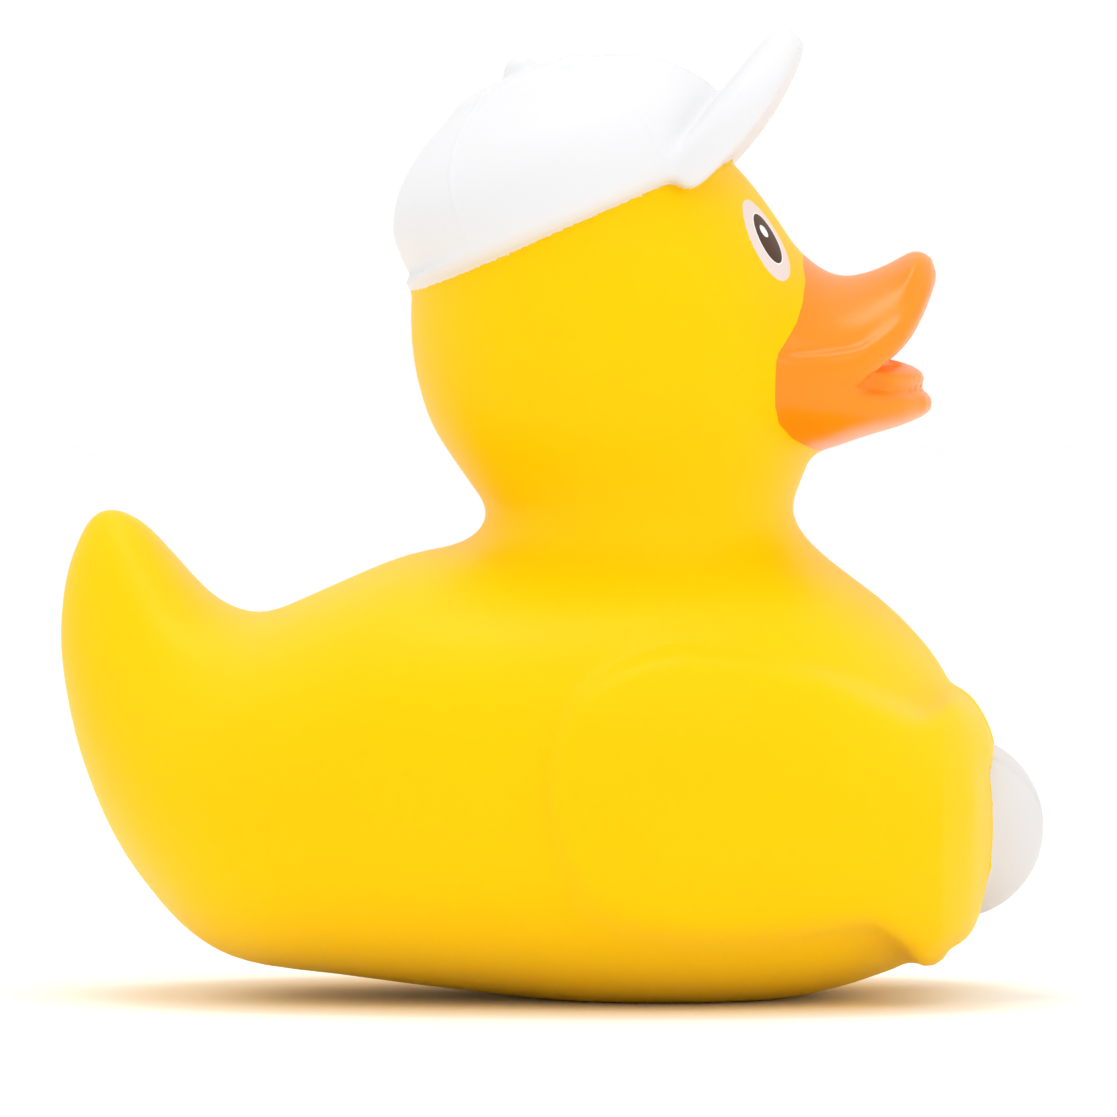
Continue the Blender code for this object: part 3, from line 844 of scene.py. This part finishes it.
class DUCK_OT_mould_skin(Operator):
    """Mould the duck's skin and paint it."""

    bl_idname = "duck.mould_skin"
    bl_label = "Skin"

    def execute(self, context):
        shape, paint = context.scene.duck_shape, context.scene.duck_paint
        field = Field(shape.pitch)
        duck = Duck(field)
        points, faces = field.to_mesh(duck.skin)
        bm = bmesh.new()
        verts = [bm.verts.new(p) for p in points.tolist()]
        for face in faces:
            bm.faces.new([verts[i] for i in face])
        bmesh.ops.recalc_face_normals(bm, faces=bm.faces)

        def by_seams(p):
            return (open_dome(field, duck, p) > 0) & (seam_distance(p) < 1.0)

        refine(bm, by_seams, shape.fine)
        refine(bm, lambda p: eye_value(3.4, 4.9)(p) < 0, shape.fine)
        refine(bm, lambda p: np.abs(field.read(duck.ball, p) - BALL_PAINT) < 0.5, shape.medium)
        refine(bm, lambda p: np.abs(field.read(duck.cap, p) - CAP_PAINT) < 0.5, shape.medium)
        refine(bm, lambda p: np.abs(bill_paint(p)) < 0.6, shape.medium)
        areas = paint_areas(field, duck, paint)
        for _, value_of in areas:
            cut(bm, value_of)
        settle(bm, field, duck.skin)
        relax(bm, field, duck.skin)
        raise_seams(bm, field, duck, shape)
        centres = face_centres(bm)
        slots = np.zeros(len(centres), int)
        for slot, (_, value_of) in enumerate(areas, 1):
            slots[value_of(centres) < 0] = slot
        for face, slot in zip(bm.faces, slots.tolist()):
            face.material_index = slot
            face.smooth = True
        bmesh.ops.scale(bm, vec=(MM, MM, MM), verts=bm.verts)
        mesh = bpy.data.meshes.new("duck_skin")
        bm.to_mesh(mesh)
        bm.free()
        for material in (yellow_vinyl(paint), *(material for material, _ in areas)):
            mesh.materials.append(material)
        skin = bpy.data.objects.new("duck_skin", mesh)
        context.scene.collection.objects.link(skin)
        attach(skin, "root")
        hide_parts("body")
        return {"FINISHED"}


class DUCK_OT_finish_squeaker(Operator):
    """Give the squeaker's pieces their plastics."""

    bl_idname = "duck.finish_squeaker"
    bl_label = "Squeaker"

    def execute(self, context):
        waxy, paler = linear("#dcdcd6"), linear("#e6e6e1")
        cup = moulded_polymer("natural_polyethylene", waxy, paler, 0.38)
        film = moulded_polymer("polyester_film", linear("#d6d9dc"), linear("#e2e4e6"), 0.22)
        for node, material in (("squeaker_cup", cup), ("reed_block", cup), ("reed", film)):
            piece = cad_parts[node]
            piece.data.materials.clear()
            piece.data.materials.append(material)
        return {"FINISHED"}


class DUCK_OT_set_stage(Operator):
    """Set the floor, the lights and the camera."""

    bl_idname = "duck.set_stage"
    bl_label = "Studio"

    def execute(self, context):
        studio = context.scene.duck_studio
        floor_board()
        world = bpy.data.worlds.new("studio")
        world.use_nodes = True
        surround = world.node_tree.nodes["Background"]
        surround.inputs["Color"].default_value = (1, 1, 1, 1)
        surround.inputs["Strength"].default_value = studio.light
        context.scene.world = world
        # Name, place, size and power
        lamps = (
            ("key", (0.25, -0.75, 0.70), 0.4, 0.9),
            ("top", (-0.1, 0.05, 0.95), 0.36, 1.9),
            ("front", (0.85, -0.20, 0.35), 0.6, 0.4),
        )
        target = Vector((0, 0, 0.045))
        for name, at, size, power in lamps:
            lamp = bpy.data.lights.new(name, "AREA")
            lamp.size, lamp.energy = size, power
            made = bpy.data.objects.new(name, lamp)
            made.location = at
            made.rotation_euler = (target - Vector(at)).to_track_quat("-Z", "Y").to_euler()
            context.scene.collection.objects.link(made)
        camera = bpy.data.objects.new("camera", bpy.data.cameras.new("camera"))
        target = Vector((0.0004, 0, 0.0403))
        a, e = studio.azimuth, studio.elevation
        back = Vector((math.sin(a) * math.cos(e), -math.cos(a) * math.cos(e), math.sin(e)))
        camera.location = target + back * studio.distance
        camera.rotation_euler = back.to_track_quat("Z", "Y").to_euler()
        camera.data.sensor_width = 36.0
        camera.data.lens = 36.0 * studio.distance / studio.width
        camera.data.clip_start = 0.01
        context.scene.collection.objects.link(camera)
        context.scene.camera = camera
        context.scene.view_settings.view_transform = "Standard"
        return {"FINISHED"}


class DUCK_PT_panel(Panel):
    """Buttons and settings for the duck."""

    bl_idname = "DUCK_PT_panel"
    bl_label = "Rubber Duck"
    bl_space_type = "VIEW_3D"
    bl_region_type = "UI"
    bl_category = "Duck"

    def draw(self, context):
        for step in STEPS:
            self.layout.operator(step.bl_idname)
        for name, kind in GROUPS.items():
            box = self.layout.box()
            for setting in kind.__annotations__:
                box.prop(getattr(context.scene, name), setting)


GROUPS = {"duck_shape": DuckShape, "duck_paint": DuckPaint, "duck_studio": DuckStudio}
STEPS = (DUCK_OT_mould_skin, DUCK_OT_finish_squeaker, DUCK_OT_set_stage)


def register():
    for item in (*GROUPS.values(), *STEPS, DUCK_PT_panel):
        bpy.utils.register_class(item)
    for name, group in GROUPS.items():
        setattr(bpy.types.Scene, name, PointerProperty(type=group))


def unregister():
    for name in GROUPS:
        delattr(bpy.types.Scene, name)
    for item in (DUCK_PT_panel, *reversed(STEPS), *reversed(GROUPS.values())):
        bpy.utils.unregister_class(item)


def main():
    register()
    bpy.ops.duck.mould_skin()
    bpy.ops.duck.finish_squeaker()
    bpy.ops.duck.set_stage()


if __name__ == "__main__":
    main()
